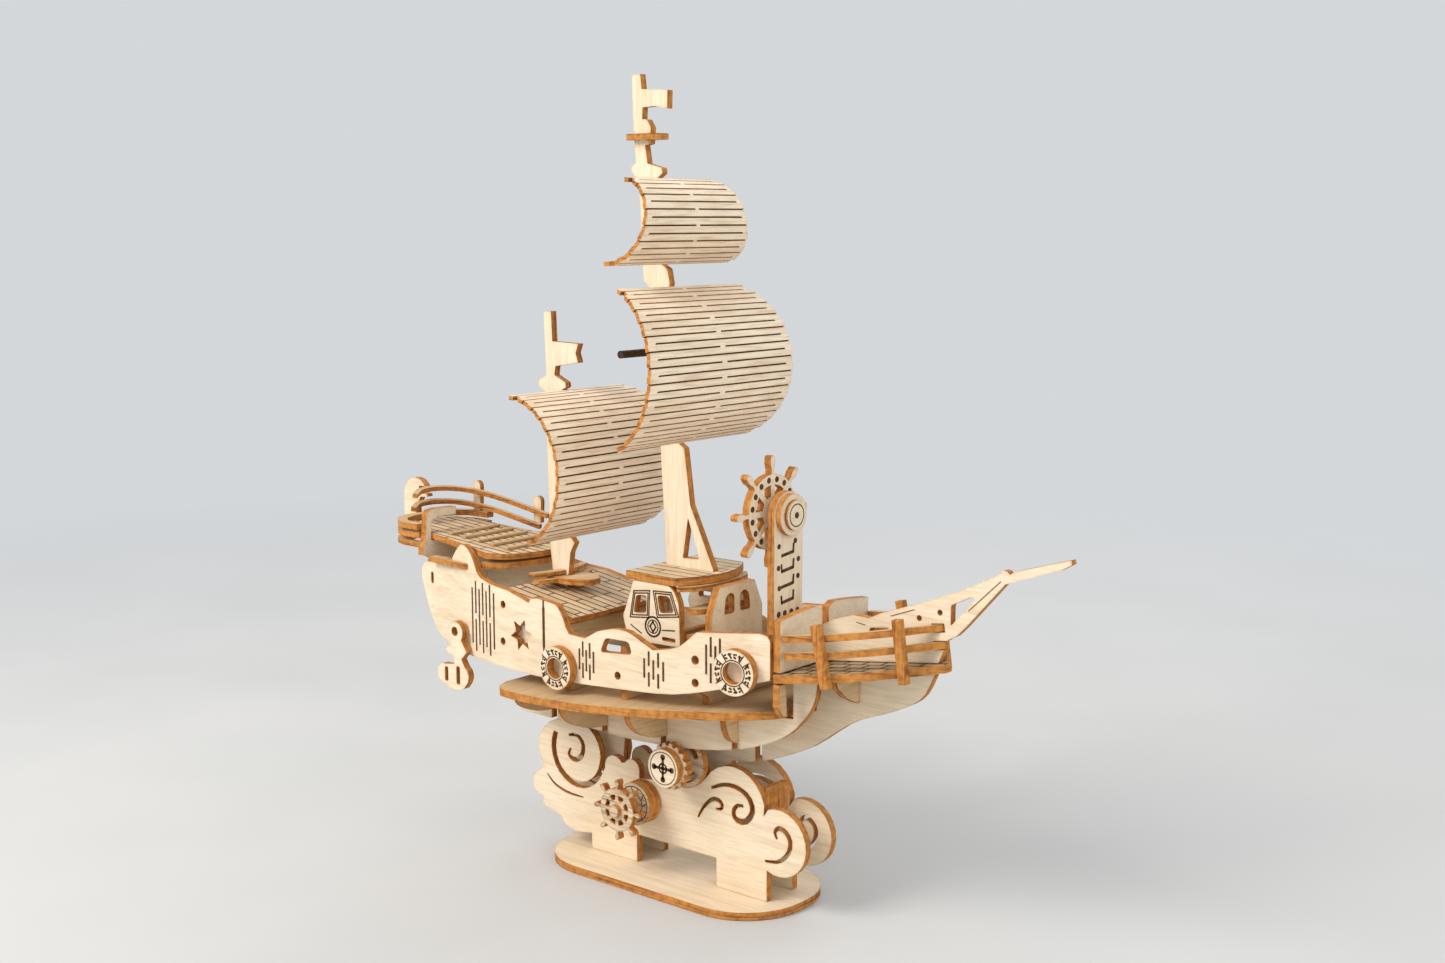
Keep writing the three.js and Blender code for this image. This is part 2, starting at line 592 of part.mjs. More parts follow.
// The stern bulkhead carries the poop deck, with an S-curved horn on its near side.
function buildSternBoards(parent) {
  const side = [[72, 8], [84, 11.8], [92.8, 13], [94.4, 16], [95, 18.4], [98, 18.4]];
  const horn = [[101.8, 16.8], [106, 16.6], [109, 16.4], [110.4, 15.4], [110.8, 12], [110.4, 3],
    [107.6, 3], [107.8, 12], [106.6, 14.2], [103.6, 14.6], [99.8, 14.5]];
  const near = [...side, ...horn].map(([z, y]) => [-y, z]);
  const far = [...side, [99.8, 17.4]].map(([z, y]) => [y, z]).reverse();
  place(parent, 'stern_bulkhead', slab([...near, ...far]), 'cross', -112.9);
  const board = [[-141.4, 98], [-134.8, 98], [-134.8, 107.6], [-132.4, 111.4],
    ...arc(-135, 111.8, 6.4, 0, 180)];
  const notch = block(-133, 112.8, -3, -126, 115.4, 3);
  place(parent, 'stern_board', cut(slab(board), [notch]), 'side', 0);
}

// ---------------------------------------------------------------- bow
const FORE_EDGE = [[0, 22.5], [13.6, 20], [24.2, 15], [32.6, 9], [38.9, 3], [41.2, 1.6]];

function buildForecastle(parent) {
  const group = rakedGroup(parent, FORE_DECK, -DECK_RAKE);
  const outline = symmetric([[-12, 20], [-4.9, 20], [-4.6, 22.5], ...FORE_EDGE]);
  place(group, 'fore_deck', slab(outline), 'deck', -PLY / 2, 'deck');
  // Each rail is one horseshoe strip that passes through the bowsprit.
  const outer = [...FORE_EDGE.slice(0, 5), [41.4, 0.8], [41.8, 0]];
  outer[0] = [0.2, 22.5];
  const inner = [[39.6, 0], [36.6, 2.6], [30.8, 7.6], [22.9, 13.2], [12.8, 17.9], [0.2, 20.3]];
  for (const [level, height] of [['lower', 5.4], ['upper', 10.4]]) {
    place(group, `fore_rail_${level}`, slab(horseshoe(outer, inner), 2), 'deck', height, 'edge');
  }
  // A bracket stands on each side of the bowsprit, across the after end of the rails.
  for (const { side, sign } of SIDES) {
    const bracket = [[1.6, 80.3], [22, 80.3], [22, 95.6], [12, 96.8], [4.5, 97.3], [1.6, 96]]
      .map(([y, z]) => [sign * y, z]);
    place(parent, `fore_bracket_${side}`, slab(bracket), 'cross', 46.5, 'edge');
  }
}

// The level plate that the helm's post stands on.
function buildHelmDeck(parent) {
  const outline = symmetric([[24, 22.4], [41, 20.6]]);
  place(parent, 'helm_deck', slab(outline), 'deck', 82.75, 'deck');
}

function buildBowsprit(parent) {
  const foot = [41.4, 60, 74, 88.4].map((x) => [x, underForeDeck(x) + PLY / Math.cos(DECK_RAKE) + 6 * GAP]);
  const outline = [
    [34.2, 84.3], [41.4, 84.3], ...foot, [91.4, 93.1], [94, 94.4], [97, 97.4], [109.4, 111.4],
    [126.2, 117.4], [129.7, 119.4], [129.4, 120.6], [126, 119.6], [112.6, 115.4],
    ...arc(109.2, 113.4, 1.9, 30, 170, 35),
    [95, 107.7], [80.4, 101.8], [68.2, 97.4], [64.3, 95.4], [58.7, 95.6],
    ...curve([[52, 93.4], [45, 90], [35.4, 85.5]], 4),
  ];
  const holes = [
    rounded([[92.2, 97.2], [100.2, 106.2], [98.8, 106.4], [92.2, 103.2]], 0.6),
    circle(88.6, 100.6, 0.9, 45), circle(81.7, 98, 0.9, 45),
    rounded([[64.4, 90.8], [71.4, 92.6], [71.2, 94], [64.6, 92.6]], 0.5),
  ];
  // Slots where the two rails pass through.
  const slots = [[5.4, 47], [10.4, 42.1]].map(([height, reach]) => (
    block(37.8, height - 1.3, -3, reach, height + 1.3, 3)
      .rotateZ(DECK_RAKE).translate(FORE_DECK.x, FORE_DECK.z, 0)));
  place(parent, 'bowsprit', cut(slab(outline, PLY, holes), slots), 'side', 0);
}

// ---------------------------------------------------------------- deckhouse
function buildDeckhouse(parent) {
  const wall = rounded([
    [-17.5, 82.4], [-10.1, 79.8], [4.9, 80.3], [4.4, 93.6], [2.9, 97], [0.6, 98.9], [-14.4, 98.9],
    [-15.8, 94.7], [-17.5, 90.1], [-18.8, 87.1],
  ], 0.8);
  const panes = [
    rounded([[-14.3, 88.5], [-9, 89.1], [-8.7, 94.9], [-13.2, 94.3]], 1),
    rounded([[-3.3, 89.9], [2.6, 90.8], [0.6, 95.7], [-4.4, 95.4]], 1.2),
    rounded(rectangle(-2.4, 81.4, 3, 82.6), 0.4),
  ];
  for (const { side, sign } of SIDES) {
    place(parent, `house_side_${side}`, slab(wall, PLY, panes), 'side', sign * 15.6);
  }
  // The front board stands on the lower deck, with two arched windows.
  const arches = [-1, 1].map((sign) => rounded([[sign * 1.4, 90], [sign * 6.4, 90], [sign * 5.6, 95.4],
    [sign * 3.4, 96.6], [sign * 1.4, 95.6]], 1));
  const front = symmetric([[lowerDeckTop(13.8) + 3 * GAP, 8], [80, 8], [81, 12.4], [90.4, 12.4],
    [98.8, 8.6]]).map(([z, y]) => [y, z]);
  place(parent, 'house_front', slab(front, PLY, arches), 'cross', 12.6, 'edge');
  const roof = symmetric([[-17.2, 17.1], [2.4, 17.1], ...curve([[5, 13], [7.6, 7], [8.7, 0.6]], 4)]);
  const slot = rectangle(-14.4, -SLOT / 2, 5.4, SLOT / 2);
  place(parent, 'house_roof', slab(roof, PLY, [slot]), 'deck', ROOF_TOP - PLY / 2, 'deck');
}

// ---------------------------------------------------------------- helm
function buildHelm(parent) {
  const post = [
    [-7, 84.3], [-1.5, 84.3], [-1.5, 90], [1.5, 90], [1.5, 84.3], [7, 84.3],
    ...arc(0, HELM_HEIGHT, 7, 0, 180, 12),
  ];
  const bore = circle(0, HELM_HEIGHT, AXLE_RADIUS + AXLE_PLAY);
  place(parent, 'helm_post', slab(post, PLY, [bore]), 'cross', 32.4);
  const group = new THREE.Group();
  group.position.z = HELM_HEIGHT;
  parent.add(group);
  const size = { spokes: 8, rimOuter: 11.6, rimInner: 8.4, hub: 5, spoke: 1.9, tip: 17.3, grip: 1.15 };
  place(group, 'helm_wheel', wheelSlab(size, PLY, AXLE_RADIUS + 0.02), 'cross', 26.4);
  const caps = [rod(6.4, 1.7, 36).translate(0, 0, 4.75), rod(4.6, 2.4, 36).translate(0, 0, 5.6)];
  place(group, 'helm_hub', joined(rod(AXLE_RADIUS, 12.8), caps), 'cross', 30);
}

// ---------------------------------------------------------------- masts and sails
const YARD = { x: -15.7, z: 169.4, radius: 1.2, half: 20.5 };

function buildMainMast(parent) {
  const outline = [
    [-14.1, 95], [5.1, 95], [5.1, 102.2], [-4.3, 121.7], [-6.7, 139.4], [-9.7, 141.2], [-12, 160],
    [-14, 184], [-12.4, 190.6], [-13.4, 195], [-18, 197.6], [-18.6, 222], [-15.2, 224.4], [-15.6, 226],
    [-21.4, 227.4], [-22.4, 233], [-20.4, 233.4], [-19.9, 238.4], [-21.6, 240.9], [-23.5, 241],
    [-23.3, 244.6], [-18, 244.8], [-13.2, 243.9], [-13, 249.5], [-23.7, 250.2], [-24.2, 254.8],
    [-27.7, 254.6], [-27.2, 239], [-26.2, 227.6], [-28.4, 226.6], [-28.2, 225], [-25, 222],
    [-23.6, 196.4], [-23.2, 191], [-19.8, 188], [-16.6, 140], [-14.4, 104],
  ];
  const window = rounded([[-7.4, 104.4], [-0.6, 104.8], [-5.2, 117.6]], 0.5);
  const hole = circle(YARD.x, YARD.z, YARD.radius + 0.05);
  const tools = [block(-29.4, 234.6, -3, -24.4, 236.6, 3), block(-22, 234.6, -3, -19, 236.6, 3)];
  place(parent, 'main_mast', cut(slab(outline, PLY, [window, hole]), tools), 'side', 0);
  // The lookout plate is pushed onto the pole from both notches.
  const nest = [...arc(-19, 0, 4, -80, 80, 20), ...arc(-26, 0, 4, 100, 260, 20)];
  const slot = rectangle(-24.5, -SLOT / 2, -21.9, SLOT / 2);
  place(parent, 'crows_nest', slab(nest, 1.8, [slot]), 'deck', 235.6, 'edge');
  const yard = place(parent, 'main_yard', rod(YARD.radius, YARD.half * 2, 16), 'side', 0, 'burnt');
  yard.position.x = YARD.x;
  yard.position.z = YARD.z;
}

function buildMizzenMast(parent) {
  const outline = [
    [-64.6, 87.4], [-58.8, 87.4], [-57.2, 100], [-55.2, 103.6], [-57.6, 106], [-60.6, 110], [-62.6, 150],
    [-60, 154.6], [-58.2, 155.4], [-58.4, 157], [-63.5, 159.2], [-63, 162.2], [-52.5, 163.8],
    [-53.6, 167], [-52.4, 170], [-64.3, 170.3], [-64.7, 180.2], [-68.2, 180.1], [-67.2, 159],
    [-71.2, 157], [-71.2, 155.2], [-68, 153.6], [-66.6, 104], [-66.4, 100],
  ];
  place(parent, 'mizzen_mast', slab(outline), 'side', 0);
}

// A sail is a thin strip bent round a circle through three points, trimmed to its front outline.
function buildSail(parent, name, { top, middle, bottom, halves }) {
  const [a, b, c] = [top, middle, bottom].map(([x, z]) => new THREE.Vector2(x, z));
  const { centre, radius } = circleThrough(a, b, c);
  const angleOf = (point) => THREE.MathUtils.radToDeg(Math.atan2(point.y - centre.y, point.x - centre.x));
  const strip = [
    ...arc(centre.x, centre.y, radius, angleOf(c), angleOf(a), 9),
    ...arc(centre.x, centre.y, radius - SAIL_PLY, angleOf(a), angleOf(c), 9),
  ];
  const [topHalf, middleHalf, bottomHalf] = halves;
  const edge = curve([[a.y + 0.4, topHalf], [b.y, middleHalf], [c.y - 0.4, bottomHalf]], 10);
  const front = symmetric(edge).map(([z, y]) => [y, z]);
  const width = Math.max(...halves) * 2 + 4;
  const prism = slab(front, 80).rotateX(Math.PI / 2).rotateZ(Math.PI / 2).translate(centre.x, 0, 0);
  const bent = slab(strip, width).rotateX(Math.PI / 2);
  const mesh = new THREE.Mesh(overlap(bent, prism), wood('face'));
  mesh.name = name;
  parent.add(mesh);
}

function circleThrough(a, b, c) {
  const d = 2 * (a.x * (b.y - c.y) + b.x * (c.y - a.y) + c.x * (a.y - b.y));
  const [qa, qb, qc] = [a, b, c].map((p) => p.lengthSq());
  const centre = new THREE.Vector2(
    (qa * (b.y - c.y) + qb * (c.y - a.y) + qc * (a.y - b.y)) / d,
    (qa * (c.x - b.x) + qb * (a.x - c.x) + qc * (b.x - a.x)) / d,
  );
  return { centre, radius: centre.distanceTo(a) };
}

function buildSails(parent) {
  buildSail(parent, 'top_sail', {
    top: [-15, 222.9], middle: [-1.6, 209.6], bottom: [-14.8, 196.3], halves: [19, 24.2, 28.6],
  });
  buildSail(parent, 'main_sail', {
    top: [-9.4, 189.8], middle: [9, 165], bottom: [-7.6, 141], halves: [28.4, 34.4, 31],
  });
  buildSail(parent, 'mizzen_sail', {
    top: [-59.6, 154.5], middle: [-34.6, 129], bottom: [-50.4, 106.8], halves: [26, 29, 27.4],
  });
}

const ship = new THREE.Group();
ship.name = 'plywood_sailing_ship';
const frame = new THREE.Group();
frame.position.x = SHIP_SHIFT;
ship.add(frame);
buildStand(frame);
buildCapDisc(frame);
buildStandWheel(frame);
buildKeels(frame);
buildRibs(frame);
buildLowerDeck(frame);
buildFrames(frame);
buildPanels(frame);
buildLifeRings(frame);
buildAnchors(frame);
buildMainDeck(frame);
buildPoop(frame);
buildSternRails(frame);
buildSternBoards(frame);
buildForecastle(frame);
buildHelmDeck(frame);
buildBowsprit(frame);
buildDeckhouse(frame);
buildHelm(frame);
buildMainMast(frame);
buildMizzenMast(frame);
buildSails(frame);

export default ship;
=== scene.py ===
# Looks for the plywood sailing ship: wood materials, slatted sails, engraving and small trim.
import bpy
import math
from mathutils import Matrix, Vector


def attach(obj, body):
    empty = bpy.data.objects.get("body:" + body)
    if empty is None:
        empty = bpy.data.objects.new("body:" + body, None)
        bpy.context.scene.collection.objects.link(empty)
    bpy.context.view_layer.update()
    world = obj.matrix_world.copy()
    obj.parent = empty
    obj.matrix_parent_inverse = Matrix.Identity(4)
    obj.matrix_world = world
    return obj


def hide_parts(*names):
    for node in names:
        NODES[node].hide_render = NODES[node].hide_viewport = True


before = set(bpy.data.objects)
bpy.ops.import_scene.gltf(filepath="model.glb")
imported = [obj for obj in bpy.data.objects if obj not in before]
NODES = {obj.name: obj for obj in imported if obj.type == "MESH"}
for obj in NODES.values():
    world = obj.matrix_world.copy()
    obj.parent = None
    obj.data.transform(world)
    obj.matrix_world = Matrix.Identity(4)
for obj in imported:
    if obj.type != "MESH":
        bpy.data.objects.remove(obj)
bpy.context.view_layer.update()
SHIFT = 8.3          # ship stations are counted from the mast step, in mm
PLY = 2.5
SIDES = (("near", -1), ("far", 1))     # the near side looks along -Y
MM = 0.001


def at(x, y, z):
    """A point given in ship millimetres, in metres in the shared frame."""
    return Vector(((x + SHIFT) * MM, y * MM, z * MM))


# ---------------------------------------------------------------- materials
class Graph:
    """Adds shader nodes to a material and joins them by name."""

    def __init__(self, name):
        self.material = bpy.data.materials.new(name)
        self.material.use_nodes = True
        self.tree = self.material.node_tree
        self.shader = self.tree.nodes["Principled BSDF"]
        self.coords = self.tree.nodes.new("ShaderNodeTexCoord").outputs["Object"]

    def link(self, source, target):
        self.tree.links.new(source, target)

    def add(self, kind, values=None, **inputs):
        node = self.tree.nodes.new(kind)
        for key, value in (values or {}).items():
            setattr(node, key, value)
        for key, value in inputs.items():
            socket = node.inputs[key.replace("_", " ")]
            if isinstance(value, bpy.types.NodeSocket):
                self.link(value, socket)
            else:
                socket.default_value = value
        return node

    def scaled(self, scale, shift=(0, 0, 0)):
        return self.add("ShaderNodeMapping", Vector=self.coords, Scale=scale, Location=shift).outputs[0]

    def noise(self, scale, size, detail=4.0, shift=(0, 0, 0)):
        node = self.add("ShaderNodeTexNoise", Vector=self.scaled(scale, shift), Scale=size, Detail=detail)
        return node.outputs["Fac"]

    def ramp(self, factor, stops):
        node = self.add("ShaderNodeValToRGB", Fac=factor)
        ramp = node.color_ramp
        ramp.elements[0].position, ramp.elements[0].color = stops[0][0], (*stops[0][1], 1)
        ramp.elements[1].position, ramp.elements[1].color = stops[-1][0], (*stops[-1][1], 1)
        for position, colour in stops[1:-1]:
            ramp.elements.new(position).color = (*colour, 1)
        return node.outputs["Color"]

    def mix(self, mode, factor, first, second):
        node = self.add("ShaderNodeMix", {"data_type": "RGBA", "blend_type": mode})
        for socket, value in ((node.inputs[0], factor), (node.inputs[6], first), (node.inputs[7], second)):
            if isinstance(value, bpy.types.NodeSocket):
                self.link(value, socket)
            else:
                socket.default_value = value
        return node.outputs[2]

    def finish(self, colour, height, roughness, bump=0.3, distance=0.0002):
        self.link(colour, self.shader.inputs["Base Color"])
        rough = self.add("ShaderNodeMapRange", Value=height, To_Min=roughness - 0.1, To_Max=roughness + 0.12)
        self.link(rough.outputs[0], self.shader.inputs["Roughness"])
        bumped = self.add("ShaderNodeBump", Strength=bump, Distance=distance, Height=height)
        self.link(bumped.outputs[0], self.shader.inputs["Normal"])
        self.shader.inputs["Specular IOR Level"].default_value = 0.25
        return self.material


GRAIN = {"x": (60, 900, 900), "y": (900, 60, 900), "z": (900, 900, 60)}


def face_wood(name, grain, pale, dark, planks=None, smoke=0.55):
    """A sheet's face: grain along one axis, blotches, and smoke left by the laser near each cut."""
    g = Graph(name)
    fine = g.noise(GRAIN[grain], 1.6, 6.0)
    broad = g.noise((1, 1, 1), 38.0, 3.0, (3, 1, 2))
    veins = g.noise(tuple(v * 0.35 for v in GRAIN[grain]), 1.1, 3.0, (7, 2, 5))
    colour = g.ramp(fine, [(0.22, dark), (0.56, pale)])
    tint = g.ramp(veins, [(0.36, (0.80, 0.70, 0.58)), (0.52, (1, 1, 1))])
    colour = g.mix("MULTIPLY", 0.35, colour, tint)
    blotch = g.ramp(broad, [(0.3, (0.90, 0.85, 0.78)), (0.65, (1.0, 1.0, 1.0))])
    colour = g.mix("MULTIPLY", 0.6, colour, blotch)
    if planks:
        length, width, line = planks
        brick = g.add("ShaderNodeTexBrick", Vector=g.coords, Scale=1.0, Mortar_Size=line, Brick_Width=length,
                      Row_Height=width, Mortar_Smooth=0.1)
        brick.inputs["Color1"].default_value = (1, 1, 1, 1)
        brick.inputs["Color2"].default_value = (0.86, 0.82, 0.76, 1)
        brick.inputs["Mortar"].default_value = (0.13, 0.07, 0.035, 1)
        colour = g.mix("MULTIPLY", 1.0, colour, brick.outputs["Color"])
    near_cut = g.add("ShaderNodeAmbientOcclusion", {"inside": True, "samples": 6}, Distance=0.0011)
    scorch = g.ramp(near_cut.outputs["AO"], [(0.3, (0.50, 0.27, 0.11)), (0.7, (1, 1, 1))])
    colour = g.mix("MULTIPLY", smoke, colour, scorch)
    return g.finish(colour, fine, 0.62)


def edge_wood(name, axis, pale, dark):
    """A cut edge: scorched, with the sheet's plies as bands across its thickness."""
    g = Graph(name)
    bands = {"x": (1250, 30, 30), "y": (30, 1250, 30), "z": (30, 30, 1250)}[axis]
    plies = g.noise(bands, 1.0, 2.0)
    streak = g.noise((520, 520, 520), 1.0, 4.0, (2, 9, 4))
    colour = g.ramp(plies, [(0.3, dark), (0.5, pale), (0.7, tuple(0.72 * c for c in pale))])
    burn = g.ramp(streak, [(0.32, (0.42, 0.3, 0.22)), (0.6, (1, 1, 1))])
    colour = g.mix("MULTIPLY", 0.6, colour, burn)
    return g.finish(colour, plies, 0.72, 0.35)


def ink_wood(name, tone):
    """Engraved or kerfed wood, charred unevenly."""
    g = Graph(name)
    char = g.noise((700, 700, 700), 1.0, 4.0)
    colour = g.ramp(char, [(0.3, tuple(0.5 * c for c in tone)), (0.7, tuple(1.5 * c for c in tone))])
    return g.finish(colour, char, 0.8, 0.4)


IVORY, STRAW = (0.82, 0.69, 0.51), (0.71, 0.56, 0.38)
FACE = {axis: face_wood("ply_face_" + axis, axis, IVORY, STRAW) for axis in "xyz"}
SAIL = face_wood("sail_face", "y", (0.93, 0.79, 0.60), (0.68, 0.50, 0.32), smoke=0.25)
DECK = face_wood("deck_face", "x", (0.74, 0.57, 0.37), (0.52, 0.37, 0.21), (0.019, 0.0034, 0.00035))
GRID = face_wood("grid_face", "x", (0.50, 0.38, 0.24), (0.36, 0.26, 0.16), (0.0066, 0.0048, 0.0005))
ROOF = face_wood("roof_face", "x", (0.72, 0.57, 0.38), (0.52, 0.38, 0.22), (0.03, 0.0042, 0.0003))
CARVED = face_wood("carved_face", "x", (0.68, 0.54, 0.37), (0.20, 0.12, 0.06), smoke=0.9)
# A darker tan copy of the ply face: painted shade, for the rib faces and the lower deck seen in shadow, also
# put on small trim.
SHADED_TAN = face_wood("shaded_tan_face", "y", (0.60, 0.42, 0.23), (0.46, 0.30, 0.15))
EDGE = {axis: edge_wood("ply_edge_" + axis, axis, (0.58, 0.24, 0.05), (0.25, 0.085, 0.02)) for axis in "xyz"}
DARK_ROD = ink_wood("dark_rod", (0.05, 0.026, 0.014))
INK = ink_wood("engraving", (0.085, 0.04, 0.018))
SCORE = ink_wood("score_line", (0.20, 0.10, 0.045))

DECK_NODES = {"main_deck": DECK, "poop_deck": DECK, "fore_deck": GRID, "house_roof": ROOF, "helm_deck": DECK,
              # lower_deck takes the darker tan face as painted shade, for the deck seen in shadow under the
              # side panels.
              # stand_tie takes the dark cut-edge wood on its faces: painted shade, for the tie seen in shadow
              # between the stand plates.
              "lower_deck": SHADED_TAN, "main_yard": DARK_ROD, "stand_tie": EDGE["y"], "cap_disc": CARVED,
              "stand_wheel": CARVED, "wheel_drum": CARVED}
# Parts that get the darker tan face, which is painted shade (the ribs' faces are seen in shadow).
SHADED_TAN_STEMS = ("rib_", "bow_rib", "gallery", "stern_rail", "fore_rail", "frame_", "poop_step",
             "mizzen_collar", "crows_nest")


def sheet_axis(obj):
    """The axis that a sheet's faces look along: the one with the most area."""
    areas = [0.0, 0.0, 0.0]
    for polygon in obj.data.polygons:
        for axis in range(3):
            areas[axis] += polygon.area * abs(polygon.normal[axis])
    return areas.index(max(areas))


def dress(obj, face, slant=0.8):
    """Gives a sheet its face wood and its cut-edge wood."""
    axis = sheet_axis(obj)
    obj.data.materials.clear()
    obj.data.materials.append(face)
    obj.data.materials.append(EDGE["xyz"[axis]])
    for polygon in obj.data.polygons:
        polygon.material_index = 0 if abs(polygon.normal[axis]) > slant else 1
        polygon.use_smooth = False


def dress_cad():
    """Gives every CAD sheet its wood."""
    for name, obj in NODES.items():
        if name in DECK_NODES:
            face = DECK_NODES[name]
        # These parts get the darker tan face, painted shade.
        elif name.startswith(SHADED_TAN_STEMS):
            face = SHADED_TAN
        else:
            face = FACE["z" if name.endswith("mast") or name == "helm_post" else "x"]
        dress(obj, face)
        if name == "main_yard":
            obj.data.materials[1] = DARK_ROD


# ---------------------------------------------------------------- building
def make(name, vertices, faces, body, materials):
    """A new mesh that rides one body."""
    mesh = bpy.data.meshes.new(name)
    mesh.from_pydata([tuple(v) for v in vertices], [], faces)
    for material in materials:
        mesh.materials.append(material)
    mesh.update()
    obj = bpy.data.objects.new(name, mesh)
    bpy.context.scene.collection.objects.link(obj)
    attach(obj, body)
    return obj


def bar(a, b, width, thickness):
    """Vertices and faces of a flat bar from a to b; thickness is along Y or, for a bar along Y, along X."""
    a, b = Vector(a), Vector(b)
    along = (b - a).normalized()
    depth = Vector((0, 1, 0)) if abs(along.y) < 0.7 else Vector((1, 0, 0))
    across = along.cross(depth).normalized() * width / 2
    depth = along.cross(across).normalized() * thickness / 2
    square = ((-1, -1), (1, -1), (1, 1), (-1, 1))
    corners = [end + u * across + v * depth for end in (a, b) for u, v in square]
    faces = [(0, 1, 2, 3), (7, 6, 5, 4), (0, 4, 5, 1), (1, 5, 6, 2), (2, 6, 7, 3), (3, 7, 4, 0)]
    return corners, faces


def add_bar(vertices, faces, *bar_sizes):
    """Adds one more bar to the vertices and faces of a piece."""
    start = len(vertices)
    corners, quads = bar(*bar_sizes)
    vertices += corners
    faces += [tuple(start + k for k in quad) for quad in quads]


PLANE = {
    "side": lambda u, v, w: at(u, w, v),
    "cross": lambda u, v, w: at(w, u, v),
    "deck": lambda u, v, w: at(u, v, w),
}


def plates(name, outlines, plane, low, high, body, materials):
    """Flat outlines drawn in a plane and given depth from low to high, as one piece."""
    vertices, faces = [], []
    for outline in outlines:
        start, count = len(vertices), len(outline)
        vertices += [PLANE[plane](u, v, low) for u, v in outline]
        vertices += [PLANE[plane](u, v, high) for u, v in outline]
        faces.append(tuple(range(start, start + count)))
        faces.append(tuple(reversed(range(start + count, start + 2 * count))))
        for i in range(count):
            j = (i + 1) % count
            faces.append((start + j, start + i, start + count + i, start + count + j))
    obj = make(name, vertices, faces, body, materials)
    if len(materials) == 2:
        axis = {"side": 1, "cross": 0, "deck": 2}[plane]
        for polygon in obj.data.polygons:
            polygon.material_index = 0 if abs(polygon.normal[axis]) > 0.8 else 1
    return obj


def polar(radius, angle, cu=0.0, cv=0.0):
    return cu + radius * math.cos(angle), cv + radius * math.sin(angle)


def circle(cu, cv, radius, count=24, start=0.0):
    return [polar(radius, start + 2 * math.pi * i / count, cu, cv) for i in range(count)]


def stroke(points, width, closed=False):
    """A line of even width, as one quad for each stretch."""
    pairs = list(zip(points, points[1:] + points[:1] if closed else points[1:]))
    quads = []
    for (u0, v0), (u1, v1) in pairs:
        length = math.hypot(u1 - u0, v1 - v0)
        if length < 1e-6:
            continue
        nu, nv = -(v1 - v0) / length * width / 2, (u1 - u0) / length * width / 2
        eu, ev = (u1 - u0) / length * width * 0.3, (v1 - v0) / length * width * 0.3
        quads.append([(u0 - eu + nu, v0 - ev + nv), (u0 - eu - nu, v0 - ev - nv),
                      (u1 + eu - nu, v1 + ev - nv), (u1 + eu + nu, v1 + ev + nv)])
    return quads


def ring(cu, cv, radius, width):
    return stroke(circle(cu, cv, radius), width, True)


# ---------------------------------------------------------------- sails
def arc_through(a, b, c):
    """Centre and radius of the circle through three points of a sail's side view."""
    (ax, ay), (bx, by), (cx, cy) = a, b, c
    d = 2 * (ax * (by - cy) + bx * (cy - ay) + cx * (ay - by))
    qa, qb, qc = ax * ax + ay * ay, bx * bx + by * by, cx * cx + cy * cy
    x = (qa * (by - cy) + qb * (cy - ay) + qc * (ay - by)) / d
    y = (qa * (cx - bx) + qb * (ax - cx) + qc * (bx - ax)) / d
    return x, y, math.hypot(ax - x, ay - y)


def half_at(t, halves):
    """Half breadth of a sail, smoothly through its top, middle and bottom breadths."""
    top, middle, bottom = halves
    return top * (1 - t) * (1 - 2 * t) + middle * 4 * t * (1 - t) + bottom * t * (2 * t - 1)


# All in mm, but for the breaks: where a slat's length is divided, as shares of its half breadth.
BREAKS = [-1, -0.955, -0.9, -0.45, -0.035, 0.035, 0.45, 0.9, 0.955, 1]
KERF_WIDTH, KERF_DEPTH = 0.5, 0.85
SAIL_SKIN, SAIL_THICKNESS = 0.05, 1.35
SAIL_MARGIN, STAGGER, TAB_NOTCH = 0.3, 0.35, 1.1


def build_sail(name, top, middle, bottom, halves, slats):
    """A sheet cut into slats by staggered kerfs, so that it bends: each slat stays flat."""
    cx, cz, radius = arc_through(top, middle, bottom)
    start = math.atan2(top[1] - cz, top[0] - cx)
    end = math.atan2(bottom[1] - cz, bottom[0] - cx)
    kerf = KERF_WIDTH / radius / abs(end - start)
    pitch = (1 + kerf) / slats
    vertices, recessed, faces, slits = [], [], [], []
    rows = [t for i in range(slats) for t in (i * pitch, (i + 1) * pitch - kerf)]
    for index, t in enumerate(rows):
        t = min(max(t, 0), 1)
        angle = start + (end - start) * t
        half = half_at(t, halves) - SAIL_MARGIN - (STAGGER if (index // 2) % 2 else 0)
        if index in (2, 3, len(rows) - 4, len(rows) - 3):
            half -= TAB_NOTCH
        for v in BREAKS:
            for points, reach in ((vertices, radius - SAIL_SKIN), (recessed, radius - KERF_DEPTH)):
                points.append(at(cx + reach * math.cos(angle), v * half, cz + reach * math.sin(angle)))
    width = len(BREAKS)

    def cell(row, column):
        corner = row * width + column
        return (corner, corner + 1, corner + width + 1, corner + width)

    for row in range(len(rows) - 1):
        joined = (4,) if (row // 2) % 2 == 0 else (0, 1, 7, 8)
        for column in range(width - 1):
            is_slit = row % 2 == 1 and column not in joined
            (slits if is_slit else faces).append(cell(row, column))
    sail = make(name + "_slats", vertices, faces, "hull", [SAIL, EDGE["z"]])
    solid = sail.modifiers.new("thickness", "SOLIDIFY")
    solid.thickness = SAIL_THICKNESS * MM
    solid.offset = 1.0 if sail.data.polygons[0].normal.x < 0 else -1.0
    solid.use_rim = True
    solid.material_offset_rim = 1
    solid.use_even_offset = True
    kerfs = make(name + "_kerfs", recessed, slits, "hull", [INK])
    char = kerfs.modifiers.new("depth", "SOLIDIFY")
    char.thickness = 0.2 * MM
    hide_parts(name)
    return sail


